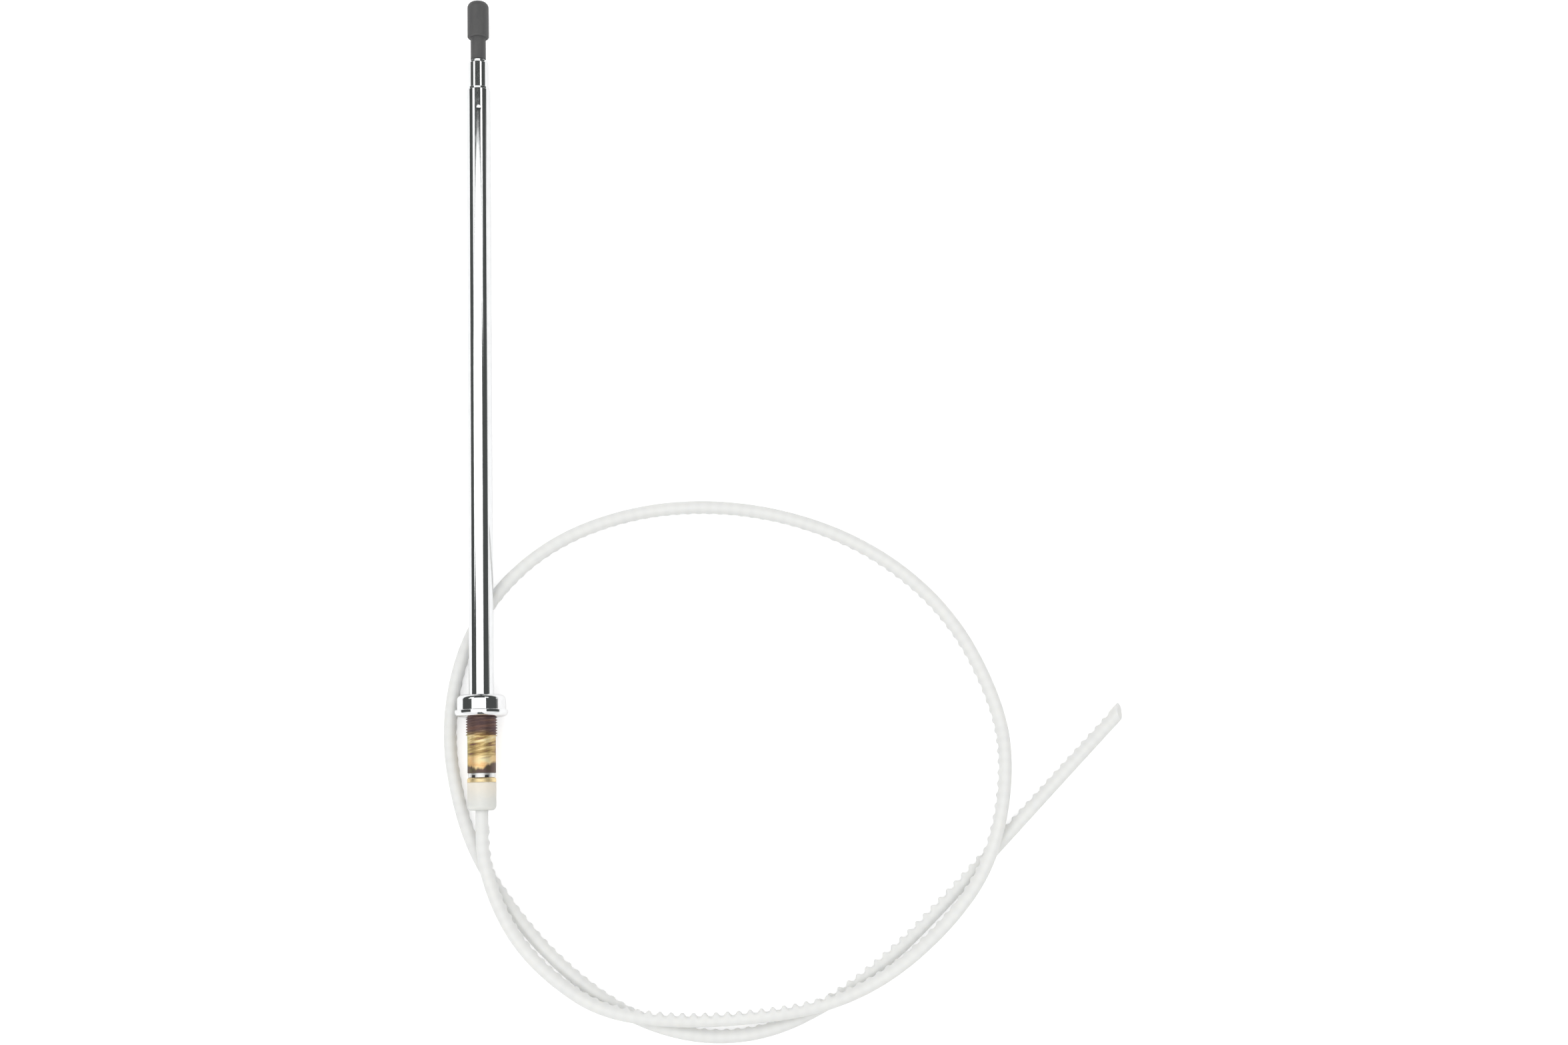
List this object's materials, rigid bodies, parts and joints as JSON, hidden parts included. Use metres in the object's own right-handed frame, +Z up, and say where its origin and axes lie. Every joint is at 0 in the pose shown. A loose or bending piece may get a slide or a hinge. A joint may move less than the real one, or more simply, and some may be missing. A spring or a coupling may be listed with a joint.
{
  "type": "telescopic car antenna mast",
  "caption": "Telescopic antenna mast, pushed in, with a flanged nut and threaded sleeve that slide on its tube and a toothed nylon drive cable laid in a loop.",
  "frame": {"origin": "on the floor that the mast lies on, under the middle of the pushed-in mast, from the plug's bottom end to the tip", "axes": "+Y along the mast towards its tip, +Z up from the floor, +X towards the side that the cable's loop lies on"},
  "size_m": [0.2634, 0.4112, 0.0204],
  "materials": {
    "bright_chrome": "mirror-bright chrome on drawn tube",
    "nut_chrome": "mirror-bright chrome on a turned nut",
    "black_plastic": "satin black moulding",
    "plug_nylon": "natural nylon, slightly warm, satin",
    "cable_nylon": "natural translucent nylon, satin",
    "liner_nylon": "natural nylon",
    "yellow_brass": "bright turned brass",
    "bush_brass": "turned brass",
    "spring_bronze": "spring bronze strip",
    "bright_nickel": "bright nickel plate",
    "yellow_passivated_steel": "yellow passivated plate with purple and green bloom",
    "seal_rubber": "black rubber"
  },
  "bodies": {
    "base": {"outer_tube": "bright_chrome", "base_plug": "plug_nylon", "base_ring": "yellow_brass", "drive_cable": "cable_nylon"},
    "second": {"second_section": "bright_chrome", "second_stop_ring": "bush_brass", "second_friction_shells": "spring_bronze", "second_retaining_ring": "bush_brass"},
    "third": {"third_section": "bright_chrome", "third_stop_ring": "bush_brass", "third_friction_shells": "spring_bronze", "third_retaining_ring": "bush_brass"},
    "tip_rod": {"inner_rod": "bright_chrome", "rod_ferrule": "bush_brass", "rod_friction_shells": "spring_bronze", "tip_cap": "black_plastic"},
    "contact": {"contact_ring": "bright_nickel"},
    "collar": {"threaded_sleeve": "yellow_passivated_steel", "insulating_liner": "liner_nylon", "nut_seal": "seal_rubber", "collar_nut": "nut_chrome"}
  },
  "joints": [
    {"name": "second_slide", "type": "slide", "parent": "base", "child": "second", "axis": [0, 1, 0], "range_m": [0, 0.266]},
    {"name": "third_slide", "type": "slide", "parent": "second", "child": "third", "axis": [0, 1, 0], "range_m": [0, 0.277]},
    {"name": "rod_slide", "type": "slide", "parent": "third", "child": "tip_rod", "axis": [0, 1, 0], "range_m": [0, 0.27]},
    {"name": "collar_slide", "type": "slide", "parent": "base", "child": "contact", "axis": [0, 1, 0], "range_m": [0, 0.012]},
    {"name": "collar_turn", "type": "hinge", "parent": "contact", "child": "collar", "pos_m": [0, -0.13, 0.0102], "axis": [0, 1, 0], "continuous": true}
  ]
}
